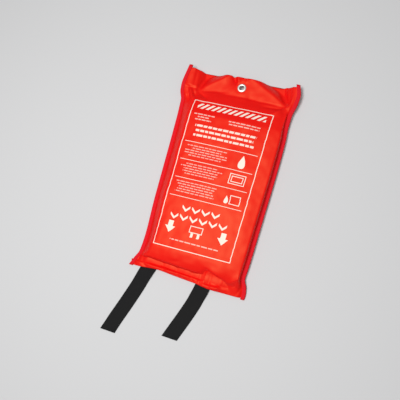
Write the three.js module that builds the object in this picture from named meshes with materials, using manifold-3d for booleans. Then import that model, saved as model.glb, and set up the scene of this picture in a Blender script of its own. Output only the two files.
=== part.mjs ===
// A fire blanket packed in its soft hanging pouch, lying on its back with the printed face up.
// Units are millimetres. +X is the pouch's right, +Y runs up to the hanging eyelet, +Z leaves the face.
// The origin is the middle of the flat back.

import * as THREE from 'three';
import { mergeVertices } from 'three/addons/utils/BufferGeometryUtils.js';
import Module from 'manifold-3d';

// Driving dimensions
const CLEARANCE = 0.3;
const FOLD_Y = 137;             // where the filled pouch ends and the hanging header starts
const HEADER_TOP_Y = 172;       // cut edge of the header
const MOUTH_Y = -177;           // mean line of the two lips
const CLOTH_HALF = 1.0;         // half the thickness of front and back panel lying together
const BINDING_WIDTH = 6.5;
const BINDING_WALL = 0.7;
const TONGUE_HALF = 0.6;        // half the thickness of the seam allowance inside the binding
const LIP_BACK = 1.4;           // thickness of the back lip
const SLOT_HEIGHT = 2.1;        // height between the lips
const SLOT = { left: -82, right: 84, depth: 30, innerLeft: -73, innerRight: 76 };
const TAPE_WIDTH = 25;
const TAPE_THICK = 1.5;
const EYELET = {
  x: 5, y: 154, z: 11.4, hole: 4, barrel: 4.8, flange: 7.5, roll: 6, washer: 7.3, stiffened: 13,
};

// Side seams from the lower ear to the upper ear: outer edge of the binding and its middle height
const LEFT_SEAM = [
  { y: -179.5, x: -100.5, z: 1.6 },
  { y: -166, x: -95, z: 1.9 },
  { y: -152, x: -88.8, z: 2.6 },
  { y: -127, x: -87.2, z: 3 },
  { y: -65, x: -90, z: 3 },
  { y: 24, x: -92, z: 3 },
  { y: 83, x: -93.5, z: 3.2 },
  { y: 104, x: -94.3, z: 4 },
  { y: 116, x: -94.6, z: 6 },
  { y: 130, x: -99, z: 9.5 },
  { y: 142, x: -99.6, z: 12 },
  { y: 158, x: -97.2, z: 14.6 },
  { y: 176, x: -94, z: 16.2 },
];
const RIGHT_SEAM = [
  { y: -180.5, x: 99.5, z: 2.4 },
  { y: -174, x: 100.4, z: 2.6 },
  { y: -161, x: 98.2, z: 4 },
  { y: -148, x: 93, z: 6 },
  { y: -132, x: 94, z: 7 },
  { y: -63, x: 95.8, z: 7.5 },
  { y: 41, x: 98.2, z: 7.5 },
  { y: 78, x: 98.4, z: 7.5 },
  { y: 103, x: 96.8, z: 8 },
  { y: 124, x: 97.4, z: 9.5 },
  { y: 143, x: 101.6, z: 12.4 },
  { y: 157, x: 103, z: 14 },
  { y: 176, x: 98, z: 16 },
];

// The filled part: a row for each section. leftX and rightX are the crests beside the crown.
const SECTIONS = [
  { y: -177, leftX: -84, leftZ: 4.9, midZ: 5.2, rightX: 86, rightZ: 5.2 },
  { y: -170, leftX: -80, leftZ: 6.4, midZ: 7.4, rightX: 85, rightZ: 8.4 },
  { y: -163, leftX: -75, leftZ: 8.2, midZ: 9.6, rightX: 85, rightZ: 12.4 },
  { y: -156, leftX: -70, leftZ: 13.6, midZ: 16.4, rightX: 85, rightZ: 16.8 },
  { y: -148, leftX: -67, leftZ: 19.2, midZ: 22.2, rightX: 85.5, rightZ: 20 },
  { y: -134, leftX: -65, leftZ: 22.8, midZ: 25.8, rightX: 87, rightZ: 22 },
  { y: -100, leftX: -64.5, leftZ: 24, midZ: 27.6, rightX: 88.5, rightZ: 23 },
  { y: -20, leftX: -65.5, leftZ: 24.4, midZ: 28.6, rightX: 90.5, rightZ: 23.4 },
  { y: 60, leftX: -67, leftZ: 24.4, midZ: 28.4, rightX: 91.5, rightZ: 23.4 },
  { y: 102, leftX: -67.5, leftZ: 23.6, midZ: 27, rightX: 90, rightZ: 22.6 },
  { y: 117, leftX: -66.5, leftZ: 21, midZ: 24.2, rightX: 89, rightZ: 20.6 },
  { y: 127, leftX: -65, leftZ: 15.6, midZ: 18.2, rightX: 88, rightZ: 16.6 },
  { y: 137, leftX: -62, leftZ: 11.5, midZ: 11.5, rightX: 86, rightZ: 11 },
];

// The header's ridges and valleys, each a straight line from the fold to the cut edge
const HEADER_FOLDS = [
  { foldX: -85, foldZ: 11.6, topX: -81, topZ: 15 },
  { foldX: -78, foldZ: 11, topX: -76.5, topZ: 11.4 },
  { foldX: -72, foldZ: 11, topX: -70.5, topZ: 7.8 },
  { foldX: -66.5, foldZ: 8.2, topX: -61, topZ: 1.1 },
  { foldX: -61, foldZ: 10, topX: -40, topZ: 7.4 },
  { foldX: -48, foldZ: 10.6, topX: -17, topZ: 12.4 },
  { foldX: -20, foldZ: 10.4, topX: -6, topZ: 11 },
  { foldX: 12, foldZ: 10.4, topX: 9, topZ: 11.4 },
  { foldX: 52, foldZ: 10.6, topX: 22, topZ: 10.6 },
  { foldX: 80, foldZ: 11, topX: 44, topZ: 6.6 },
  { foldX: 84.5, foldZ: 9.6, topX: 68, topZ: 1.1 },
  { foldX: 87, foldZ: 10.4, topX: 74, topZ: 6.6 },
  { foldX: 89, foldZ: 10, topX: 79.5, topZ: 8.6 },
  { foldX: 91, foldZ: 11.2, topX: 87.5, topZ: 15 },
];

// Soft creases pressed into the cloth: a trough from start to end, or a ridge where depth is negative
const CREASES = [
  { x0: -86, y0: 138, x1: -74, y1: 116, width: 3, depth: 2.2 },
  { x0: -78, y0: 135, x1: -69, y1: 121, width: 3, depth: -1.8 },
  { x0: -66, y0: 133, x1: -52, y1: 126, width: 5, depth: 2 },
  { x0: -52, y0: 135, x1: 40, y1: 136, width: 3, depth: 1.2 },
  { x0: 88, y0: 136, x1: 66, y1: 116, width: 4, depth: -2 },
  { x0: 76, y0: 134, x1: 40, y1: 131, width: 4, depth: 1.4 },
  { x0: -84, y0: -162, x1: 28, y1: -165, width: 3.4, depth: 1.8 },
  { x0: 34, y0: -154, x1: 58, y1: -162, width: 4, depth: 2.6 },
  { x0: 28, y0: -165, x1: 56, y1: -163, width: 3.4, depth: 2 },
  { x0: 24, y0: -158, x1: 26, y1: -174, width: 2.6, depth: 1 },
  { x0: 88, y0: -146, x1: 76, y1: -158, width: 4, depth: -1.4 },
  { x0: -13, y0: 172, x1: -3, y1: 163, width: 2.4, depth: 1.8 },
  { x0: 12, y0: 172, x1: 8, y1: 163, width: 2.4, depth: 1.4 },
];

// The lips' edge, which waves in plan
const LIP_EDGE = [
  { x: -100, y: -178 },
  { x: -82, y: -177 },
  { x: -48, y: -173.4 },
  { x: -18, y: -175.2 },
  { x: 20, y: -177 },
  { x: 42, y: -179.4 },
  { x: 63, y: -179 },
  { x: 100, y: -178 },
];

// Middle lines of the pull tapes: from the root between the lips, over the back lip, down and away
const TAPES = {
  tape_left: {
    endAngle: 20,
    path: [
      { x: -58.8, y: -154, z: 2.45 },
      { x: -63, y: -168, z: 2.45 },
      { x: -68, y: -183.5, z: 2.45 },
      { x: -70.2, y: -190.5, z: 1.6 },
      { x: -72.6, y: -199, z: 0.75 },
      { x: -75.9, y: -211, z: 0.75 },
      { x: -85, y: -239, z: 0.75 },
      { x: -95.8, y: -270, z: 0.75 },
      { x: -103.4, y: -293.7, z: 0.75 },
    ],
  },
  tape_right: {
    endAngle: 19,
    path: [
      { x: 34.4, y: -155, z: 2.45 },
      { x: 32.2, y: -168, z: 2.45 },
      { x: 29, y: -186, z: 2.45 },
      { x: 27.4, y: -192.5, z: 1.6 },
      { x: 25.4, y: -200, z: 0.75 },
      { x: 22.9, y: -210, z: 0.75 },
      { x: 15.6, y: -232, z: 0.75 },
      { x: 7.6, y: -253.5, z: 0.75 },
      { x: 0.4, y: -272.9, z: 0.75 },
    ],
  },
};

const RED_CLOTH = { color: 0xe8281c, roughness: 0.55, metalness: 0 };
const RED_BINDING = { color: 0xc81420, roughness: 0.6, metalness: 0 };
const BLACK_WEBBING = { color: 0x242426, roughness: 0.85, metalness: 0 };
const NICKEL = { color: 0xd8d4cc, roughness: 0.3, metalness: 1 };

// Rows that pouch, header and bindings share, close together where the cloth bends most
const POUCH_ROWS = [
  ...evenly(MOUTH_Y, -141, 3),
  ...evenly(-138, 108, 14),
  ...evenly(112, FOLD_Y - 4, 3.5),
  FOLD_Y - CLEARANCE / 2,
];
const HEADER_ROWS = [FOLD_Y + CLEARANCE / 2, ...evenly(FOLD_Y + 3.5, HEADER_TOP_Y, 3.5)];

const wasm = await Module();
wasm.setup();

// Values from start up to end, a step apart
function evenly(start, end, step) {
  return Array.from({ length: Math.floor((end - start) / step + 0.001) + 1 }, (_, i) => start + i * step);
}

const mix = (a, b, t) => a + (b - a) * t;
const clamp01 = (t) => Math.min(1, Math.max(0, t));
const ease = (t) => clamp01(t) ** 2 * (3 - 2 * clamp01(t));

// Smooth value of one column of a table at a place along its key column, without overshoot
function readTable(rows, key, column, at) {
  const last = rows.length - 1;
  if (at <= rows[0][key]) return rows[0][column];
  if (at >= rows[last][key]) return rows[last][column];
  let i = 0;
  while (rows[i + 1][key] < at) i += 1;
  const step = (k) => rows[k + 1][key] - rows[k][key];
  const slope = (k) => (rows[k + 1][column] - rows[k][column]) / step(k);
  const tangent = (k) => {
    if (k === 0) return slope(0);
    if (k === last) return slope(last - 1);
    const before = slope(k - 1);
    const after = slope(k);
    return before * after <= 0 ? 0 : (2 * before * after) / (before + after);
  };
  const t = (at - rows[i][key]) / step(i);
  const rise = rows[i + 1][column] - rows[i][column];
  const startPull = tangent(i) * step(i) - rise;
  const endPull = rise - tangent(i + 1) * step(i);
  return mix(rows[i][column], rows[i + 1][column], t) + t * (1 - t) * (startPull * (1 - t) + endPull * t);
}

// How far the creases lower the cloth at a point
function creaseDrop(x, y) {
  let drop = 0;
  for (const c of CREASES) {
    const runX = c.x1 - c.x0;
    const runY = c.y1 - c.y0;
    const along = clamp01(((x - c.x0) * runX + (y - c.y0) * runY) / (runX ** 2 + runY ** 2));
    const away = Math.hypot(x - c.x0 - along * runX, y - c.y0 - along * runY) / c.width;
    drop += c.depth * Math.exp(-(away ** 2));
  }
  return drop;
}

// Closed solid through rings of equal length. A ring runs along one face and back along the other,
// so each flat end is a strip between its two halves.
function loft(rings) {
  const count = rings[0].length;
  const index = [];
  for (let r = 0; r < rings.length - 1; r += 1) {
    for (let k = 0; k < count; k += 1) {
      const a = r * count + k;
      const b = r * count + ((k + 1) % count);
      index.push(a, b, b + count, a, b + count, a + count);
    }
  }
  const lastRing = (rings.length - 1) * count;
  for (let k = 0; k < count / 2 - 1; k += 1) {
    const [a, b, c, d] = [k, k + 1, count - 2 - k, count - 1 - k];
    index.push(a, c, b, a, d, c);
    index.push(...[a, b, c, a, c, d].map((v) => v + lastRing));
  }
  const geometry = new THREE.BufferGeometry();
  geometry.setAttribute('position', new THREE.Float32BufferAttribute(rings.flat(2), 3));
  geometry.setIndex(index);
  return facingOut(geometry);
}

// Turns the faces of a closed mesh outwards
function facingOut(geometry) {
  const p = geometry.attributes.position;
  const corner = (i) => new THREE.Vector3().fromBufferAttribute(p, i);
  const index = Array.from(geometry.index.array);
  let volume = 0;
  for (let i = 0; i < index.length; i += 3) {
    volume += corner(index[i]).dot(corner(index[i + 1]).cross(corner(index[i + 2])));
  }
  if (volume < 0) index.reverse();
  geometry.setIndex(index);
  return geometry;
}

function toSolid(geometry) {
  const bare = geometry.clone();
  bare.deleteAttribute('normal');
  bare.deleteAttribute('uv');
  const merged = mergeVertices(bare, 1e-4);
  const vertProperties = Float32Array.from(merged.attributes.position.array);
  const triVerts = Uint32Array.from(merged.index.array);
  return new wasm.Manifold(new wasm.Mesh({ numProp: 3, vertProperties, triVerts }));
}

function subtract(body, tool) {
  const cut = toSolid(body).subtract(toSolid(tool)).getMesh();
  const geometry = new THREE.BufferGeometry();
  geometry.setAttribute('position', new THREE.BufferAttribute(cut.vertProperties, 3));
  geometry.setIndex(new THREE.BufferAttribute(cut.triVerts, 1));
  return geometry;
}

// Seam tongues: the pressed seam allowance that the bindings cover, as top or bottom points
function tongue(seam, y, side, face) {
  const outer = readTable(seam, 'y', 'x', y);
  const z = readTable(seam, 'y', 'z', y) + face * TONGUE_HALF;
  const edge = outer + side * (BINDING_WALL + CLEARANCE);
  const root = outer + side * (BINDING_WIDTH + 2 * CLEARANCE);
  return { edge: [edge, y, z], root: [root, y, z] };
}

// Height of the cloth's middle where pouch and header meet
function foldHeight(x) {
  const left = readTable(LEFT_SEAM, 'y', 'z', FOLD_Y);
  const right = readTable(RIGHT_SEAM, 'y', 'z', FOLD_Y);
  const rows = HEADER_FOLDS.map((f) => ({ x: f.foldX, z: f.foldZ }));
  return readTable([{ x: -92.5, z: left }, ...rows, { x: 94, z: right }], 'x', 'z', x);
}

// Top and bottom of the filled pouch across one section, from the left tongue to the right one
function pouchSection(y, columns) {
  const read = (column) => readTable(SECTIONS, 'y', column, y);
  const leftRoot = tongue(LEFT_SEAM, y, 1, 1).root;
  const rightRoot = tongue(RIGHT_SEAM, y, -1, 1).root;
  const leftX = read('leftX');
  const rightX = Math.min(read('rightX'), rightRoot[0] - 1.5);
  const meet = ease((y - 120) / (FOLD_Y - 120));
  const stations = [];
  for (let i = 1; i <= columns.slope; i += 1) {
    const t = i / columns.slope;
    stations.push({
      x: mix(leftRoot[0], leftX, t),
      z: mix(leftRoot[2], read('leftZ'), 1 - (1 - t) ** 1.35),
    });
  }
  for (let i = 1; i < columns.crown; i += 1) {
    const t = i / columns.crown;
    const chord = mix(read('leftZ'), read('rightZ'), t);
    const rise = read('midZ') - (read('leftZ') + read('rightZ')) / 2;
    stations.push({ x: mix(leftX, rightX, t), z: chord + rise * (1 - (2 * t - 1) ** 2) ** 0.8 });
  }
  for (let i = 0; i < columns.wall; i += 1) {
    const t = i / columns.wall;
    stations.push({
      x: mix(rightX, rightRoot[0], t),
      z: mix(read('rightZ'), rightRoot[2], t ** 1.9),
    });
  }
  const baseLeft = mix(leftRoot[0], leftX, 0.3);
  const baseRight = rightRoot[0] - 5;
  return stations.map(({ x, z }) => {
    const folded = mix(z, foldHeight(x) + CLOTH_HALF, meet);
    const top = folded - creaseDrop(x, y) * (z > 3 * CLOTH_HALF ? 1 : 0.4);
    const fromLeft = 1 - clamp01((x - leftRoot[0]) / (baseLeft - leftRoot[0]));
    const fromRight = clamp01((x - baseRight) / (rightRoot[0] - baseRight));
    const leftLift = (leftRoot[2] - 2 * TONGUE_HALF) * fromLeft ** 2;
    const lift = leftLift + (rightRoot[2] - 2 * TONGUE_HALF) * fromRight ** 2;
    const under = mix(lift, foldHeight(x) - CLOTH_HALF, meet);
    return { x, top: Math.max(top, under + 2 * CLOTH_HALF), under };
  });
}

// One ring: along the top from the left tongue to the right one, and back underneath
function ringOf(y, stations, planY = () => y) {
  const leftTop = tongue(LEFT_SEAM, y, 1, 1);
  const leftUnder = tongue(LEFT_SEAM, y, 1, -1);
  const rightTop = tongue(RIGHT_SEAM, y, -1, 1);
  const rightUnder = tongue(RIGHT_SEAM, y, -1, -1);
  const top = [leftTop.edge, leftTop.root, ...stations.map((s) => [s.x, planY(s.x), s.top])];
  top.push(rightTop.root, rightTop.edge);
  const under = [leftUnder.edge, leftUnder.root, ...stations.map((s) => [s.x, planY(s.x), s.under])];
  under.push(rightUnder.root, rightUnder.edge);
  return [...top, ...under.reverse()];
}

function pouchGeometry() {
  const columns = { slope: 7, crown: 18, wall: 5 };
  const rings = POUCH_ROWS.map((y) => {
    const wave = 1 - ease((y - MOUTH_Y) / 24);
    const planY = (x) => y + wave * (readTable(LIP_EDGE, 'x', 'y', x) - MOUTH_Y);
    return ringOf(y, pouchSection(y, columns), planY);
  });
  return subtract(loft(rings), mouthSlot());
}

// The narrow space between the lips, which tapers inwards from the mouth
function mouthSlot() {
  const before = MOUTH_Y - 10;
  const plan = new THREE.Shape([
    new THREE.Vector2(SLOT.left, before), new THREE.Vector2(SLOT.right, before),
    new THREE.Vector2(SLOT.right, MOUTH_Y), new THREE.Vector2(SLOT.innerRight, MOUTH_Y + SLOT.depth),
    new THREE.Vector2(SLOT.innerLeft, MOUTH_Y + SLOT.depth), new THREE.Vector2(SLOT.left, MOUTH_Y),
  ]);
  const slot = new THREE.ExtrudeGeometry(plan, { depth: SLOT_HEIGHT, bevelEnabled: false });
  return slot.translate(0, 0, LIP_BACK);
}

function headerGeometry() {
  const lines = HEADER_FOLDS.map((fold, row) => ({ ...fold, row }));
  const perFold = 3;
  const rings = HEADER_ROWS.map((y) => {
    const t = (y - FOLD_Y) / (HEADER_TOP_Y - FOLD_Y);
    const stations = [];
    for (let k = 0; k <= (lines.length - 1) * perFold; k += 1) {
      const at = k / perFold;
      const x = mix(readTable(lines, 'row', 'foldX', at), readTable(lines, 'row', 'topX', at), t);
      const waved = mix(readTable(lines, 'row', 'foldZ', at), readTable(lines, 'row', 'topZ', at), t);
      const stiff = 1 - ease((Math.hypot(x - EYELET.x, y - EYELET.y) - EYELET.stiffened) / 6);
      const creased = Math.max(waved - creaseDrop(x, y), CLOTH_HALF);
      const z = mix(creased, EYELET.z, stiff);
      stations.push({ x, top: z + CLOTH_HALF, under: z - CLOTH_HALF });
    }
    return ringOf(y, stations);
  });
  const hole = new THREE.CylinderGeometry(EYELET.barrel + CLEARANCE, EYELET.barrel + CLEARANCE, 12, 28);
  hole.rotateX(Math.PI / 2).translate(EYELET.x, EYELET.y, EYELET.z);
  return subtract(loft(rings), hole);
}

// Edge tape folded over a side seam. side is 1 on the left, where the cloth lies towards +X.
function bindingGeometry(seam, side) {
  const outerHalf = TONGUE_HALF + CLEARANCE + BINDING_WALL;
  const innerHalf = TONGUE_HALF + CLEARANCE;
  const outside = [
    [BINDING_WIDTH, -outerHalf], [0.6, -outerHalf], [0, -outerHalf * 0.55],
    [0, outerHalf * 0.55], [0.6, outerHalf], [BINDING_WIDTH, outerHalf],
  ];
  const inside = [
    [BINDING_WIDTH, -innerHalf], [BINDING_WALL + 0.2, -innerHalf], [BINDING_WALL, 0.2 - innerHalf],
    [BINDING_WALL, innerHalf - 0.2], [BINDING_WALL + 0.2, innerHalf], [BINDING_WIDTH, innerHalf],
  ];
  const profile = [...outside, ...inside.reverse()];
  const rows = [seam[0].y, ...POUCH_ROWS, ...HEADER_ROWS, seam.at(-1).y];
  return loft(rows.map((y) => {
    const x = readTable(seam, 'y', 'x', y);
    const z = readTable(seam, 'y', 'z', y);
    return profile.map(([inward, up]) => [x + side * inward, y, z + up]);
  }));
}

function tapeGeometry({ path, endAngle }) {
  const points = path.map(({ x, y, z }) => new THREE.Vector3(x, y, z));
  const curve = new THREE.CatmullRomCurve3(points, false, 'centripetal');
  const steps = 30;
  const rings = [];
  for (let i = 0; i <= steps; i += 1) {
    const t = i / steps;
    const middle = curve.getPointAt(t);
    const run = curve.getTangentAt(t);
    const across = new THREE.Vector3(-run.y, run.x, 0).normalize();
    if (i === steps) {
      const slant = THREE.MathUtils.degToRad(endAngle);
      across.set(1, 0, 0).multiplyScalar(1 / Math.cos(slant));
    }
    const half = across.multiplyScalar(TAPE_WIDTH / 2);
    const ring = [];
    for (const [sideways, up] of [[-1, -1], [1, -1], [1, 1], [-1, 1]]) {
      const point = middle.clone().addScaledVector(half, sideways);
      ring.push([point.x, point.y, Math.max(middle.z, TAPE_THICK / 2) + (up * TAPE_THICK) / 2]);
    }
    rings.push(ring);
  }
  return loft(rings);
}

function latheGeometry(profile) {
  const points = [...profile, profile[0]].map(([r, z]) => new THREE.Vector2(r, z));
  const ring = new THREE.LatheGeometry(points, 28);
  ring.rotateX(Math.PI / 2).translate(EYELET.x, EYELET.y, EYELET.z);
  ring.deleteAttribute('normal');
  ring.deleteAttribute('uv');
  return facingOut(mergeVertices(ring, 1e-4));
}

// Flange, barrel and rolled end of the eyelet, about the middle of the cloth
function eyeletGeometry() {
  const onCloth = CLOTH_HALF + CLEARANCE;
  const rollTop = -(CLOTH_HALF + 2 * CLEARANCE + 0.8);
  return latheGeometry([
    [EYELET.hole, onCloth + 0.7], [EYELET.hole + 0.9, onCloth + 1.3], [EYELET.hole + 2.2, onCloth + 1.2],
    [EYELET.flange, onCloth + 0.5], [EYELET.flange, onCloth], [EYELET.barrel, onCloth],
    [EYELET.barrel, rollTop], [EYELET.roll, rollTop], [EYELET.roll - 0.3, rollTop - 0.7],
    [EYELET.hole + 0.5, rollTop - 0.9], [EYELET.hole, rollTop - 0.4],
  ]);
}

function washerGeometry() {
  const face = -(CLOTH_HALF + CLEARANCE);
  const bore = EYELET.barrel + CLEARANCE;
  return latheGeometry([
    [bore, face], [EYELET.washer, face], [EYELET.washer, face - 0.5], [EYELET.washer - 0.5, face - 0.8],
    [bore, face - 0.8],
  ]);
}

function piece(name, geometry, finish) {
  const mesh = new THREE.Mesh(geometry, new THREE.MeshStandardMaterial(finish));
  mesh.name = name;
  return mesh;
}

const blanketPouch = new THREE.Group();
blanketPouch.add(
  piece('pouch', pouchGeometry(), RED_CLOTH),
  piece('header', headerGeometry(), RED_CLOTH),
  piece('binding_left', bindingGeometry(LEFT_SEAM, 1), RED_BINDING),
  piece('binding_right', bindingGeometry(RIGHT_SEAM, -1), RED_BINDING),
  piece('eyelet', eyeletGeometry(), NICKEL),
  piece('eyelet_washer', washerGeometry(), NICKEL),
);
for (const [name, tape] of Object.entries(TAPES)) {
  blanketPouch.add(piece(name, tapeGeometry(tape), BLACK_WEBBING));
}

export default blanketPouch;
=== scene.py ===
"""A folded fire blanket packed in its soft hanging pouch, lying on its back with the printed face up.

Lengths are metres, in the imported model's frame: +X is the pouch's right, +Y runs up to the hanging
eyelet and +Z leaves the printed face.
"""
import logging
import math
from bisect import bisect_right
from dataclasses import dataclass
from enum import Enum
from itertools import accumulate, pairwise
from typing import Callable, Iterable, Optional, Sequence, Union

import bmesh
import bpy
from bmesh.types import BMEdge, BMesh, BMVert
from bpy.types import Material, Node, NodeSocket, NodeTree, Object
from mathutils import Matrix, Vector, noise
from mathutils.bvhtree import BVHTree


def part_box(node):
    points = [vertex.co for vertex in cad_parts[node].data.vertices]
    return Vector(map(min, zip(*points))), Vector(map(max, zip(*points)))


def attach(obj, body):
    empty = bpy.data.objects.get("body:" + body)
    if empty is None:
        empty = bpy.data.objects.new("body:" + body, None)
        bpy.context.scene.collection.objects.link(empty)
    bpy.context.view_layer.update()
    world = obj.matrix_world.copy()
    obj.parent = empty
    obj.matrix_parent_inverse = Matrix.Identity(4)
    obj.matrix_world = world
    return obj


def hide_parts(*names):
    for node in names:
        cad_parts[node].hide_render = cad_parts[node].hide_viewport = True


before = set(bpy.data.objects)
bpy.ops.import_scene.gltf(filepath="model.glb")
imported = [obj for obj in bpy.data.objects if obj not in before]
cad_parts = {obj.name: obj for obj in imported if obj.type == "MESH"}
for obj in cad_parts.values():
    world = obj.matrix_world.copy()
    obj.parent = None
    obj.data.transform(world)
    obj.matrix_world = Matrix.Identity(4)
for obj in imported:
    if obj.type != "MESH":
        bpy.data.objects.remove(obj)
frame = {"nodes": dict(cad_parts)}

LOG = logging.getLogger("blanket_pouch")
MM = 0.001
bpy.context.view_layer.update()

UP = Vector((0, 0, 1))
TOUCHING = 0.000001
OFF_PRINT = 1.0  # moves flat coordinates off the front panel's print

Socket = Union[NodeSocket, float, int]
Colour = tuple[float, float, float, float]
Paint = Union[NodeSocket, Colour]
Band = tuple[float, float, float, float]
Lattice = dict[tuple[int, int], BMVert]


class Side(Enum):
    """A side seam of the pouch; its value is the direction in which the cloth lies from the seam."""

    LEFT = 1
    RIGHT = -1


class Face(Enum):
    """A panel of the pouch; its value is the direction in which the panel faces."""

    FRONT = 1
    BACK = -1


def mix(a: float, b: float, t: float) -> float:
    """Returns the value a share t of the way from a to b."""
    return a + (b - a) * t


def ease(t: float) -> float:
    """Returns t kept between 0 and 1, with a soft start and end."""
    t = min(1.0, max(0.0, t))
    return t * t * (3.0 - 2.0 * t)


def within(at: float, band: Band) -> float:
    """Returns 1 inside a band and 0 outside it, with both of its ends soft."""
    low, low_softness, high, high_softness = band
    return ease((at - low) / low_softness) * ease((high - at) / high_softness)


def running(steps: Iterable[float]) -> list[float]:
    """Returns the running total of steps, from 0."""
    return [0.0, *accumulate(steps)]


def along(keys: Sequence[float], values: Sequence[float], at: float) -> float:
    """Reads a value from a line of rising keys.

    Args:
        keys: rising positions.
        values: the value at each position.
        at: the position to read.

    Returns:
        The value between its two neighbours, held at the ends.
    """
    if at <= keys[0]:
        return values[0]
    if at >= keys[-1]:
        return values[-1]
    i = bisect_right(keys, at) - 1
    return mix(values[i], values[i + 1], (at - keys[i]) / (keys[i + 1] - keys[i]))


@dataclass(frozen=True)
class Crease:
    """A soft trough pressed into the cloth along a line, or a ridge where its depth is negative.

    Sizes are millimetres. The two reaches say how wide the crease is to the left and the right of its
    run; unequal ones make a facet that falls away from a sharp fold.
    """

    start: tuple[float, float]
    end: tuple[float, float]
    depth: float
    left: float = 2.4
    right: float = 2.4

    REACHES = 4.0  # how many reaches away a crease ends
    END_LOSS = 0.6
    BLUNT = 0.2

    def drop(self, x: float, y: float) -> float:
        """Gives how far the crease lowers the cloth.

        Args:
            x: place across, in metres.
            y: place up the pouch, in metres.

        Returns:
            The drop along the cloth's normal, in metres.
        """
        start = Vector(self.start)
        run = Vector(self.end) - start
        reach = Vector((x / MM, y / MM)) - start
        share = min(1.0, max(0.0, reach.dot(run) / run.length_squared))
        side = self.left if run.cross(reach) > 0.0 else self.right
        away = (reach - run * share).length / side
        if away > self.REACHES:
            return 0.0
        fade = 1.0 - self.END_LOSS * (2.0 * share - 1.0) ** 2
        return self.depth * MM * fade * math.exp(self.BLUNT - math.hypot(away, self.BLUNT))


def panel_map(mesh: BMesh) -> bmesh.types.BMLayerItem:
    """Returns the mesh's UV map "panel", which holds flat coordinates in metres."""
    return mesh.loops.layers.uv.get("panel") or mesh.loops.layers.uv.new("panel")


def lay_grid(
    mesh: BMesh,
    columns: int,
    rows: int,
    place: Callable[[int, int], Vector],
    flat: Callable[[int, int], tuple[float, float]],
    facing: Face = Face.FRONT,
) -> Lattice:
    """Adds a grid of cloth to a mesh and lays each of its points in place.

    Args:
        mesh: takes the grid.
        columns: faces across.
        rows: faces along.
        place: gives a point's place from its column and row.
        flat: gives a point's flat coordinates from the same, for the UV map "panel".
        facing: which way the grid's faces look.

    Returns:
        The grid's points by column and row.
    """
    panel = panel_map(mesh)
    made = bmesh.ops.create_grid(mesh, x_segments=columns, y_segments=rows, size=0.5)["verts"]
    lattice = {(round((v.co.x + 0.5) * columns), round((v.co.y + 0.5) * rows)): v for v in made}
    keys = {vert: key for key, vert in lattice.items()}
    faces = {face for vert in made for face in vert.link_faces}
    for face in faces:
        for loop in face.loops:
            loop[panel].uv = flat(*keys[loop.vert])
    for key, vert in lattice.items():
        vert.co = place(*key)
    if facing is Face.BACK:
        bmesh.ops.reverse_faces(mesh, faces=list(faces))
    return lattice


@dataclass(frozen=True)
class Station:
    """A place where a band's section stands."""

    middle: Vector
    across: Vector
    run: float


def swept_band(section: Sequence[tuple[float, float]], stations: Sequence[Station]) -> BMesh:
    """Carries a closed section along a row of stations and closes both ends.

    Args:
        section: the section's points, across and up, in metres.
        stations: where the section stands, in order.

    Returns:
        A closed band with its girth and run in the UV map "panel".
    """
    count = len(section)
    girth = running(math.dist(a, b) for a, b in pairwise([*section, section[0]]))

    def place(column: int, row: int) -> Vector:
        """Returns a point of the section at one station."""
        across, up = section[column % count]
        at = stations[row]
        return at.middle + at.across * across + UP * up

    band = bmesh.new()
    lay_grid(band, count, len(stations) - 1, place, lambda i, j: (girth[i], stations[j].run))
    bmesh.ops.remove_doubles(band, verts=band.verts, dist=TOUCHING)
    ends = [edge for edge in band.edges if edge.is_boundary]
    caps = bmesh.ops.holes_fill(band, edges=ends, sides=0)["faces"]
    bmesh.ops.triangulate(band, faces=caps)
    bmesh.ops.recalc_face_normals(band, faces=band.faces)
    return band


def finished(name: str, mesh: BMesh, *materials: Material) -> Object:
    """Turns a bmesh into a smooth-shaded piece at the origin.

    Args:
        name: the piece's name.
        mesh: its shape, in the model's frame.
        materials: its finishes.

    Returns:
        The linked object.
    """
    data = bpy.data.meshes.new(name)
    mesh.to_mesh(data)
    mesh.free()
    data.polygons.foreach_set("use_smooth", [True] * len(data.polygons))
    for material in materials:
        data.materials.append(material)
    piece = bpy.data.objects.new(name, data)
    bpy.context.scene.collection.objects.link(piece)
    return piece


def hand_over(piece: Object, slot: str, *nodes: str) -> None:
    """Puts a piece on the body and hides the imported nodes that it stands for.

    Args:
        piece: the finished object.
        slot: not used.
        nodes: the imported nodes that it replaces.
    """
    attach(piece, "root")
    if nodes:
        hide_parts(*nodes)
    LOG.info("%s: %d faces", piece.name, len(piece.data.polygons))


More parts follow.
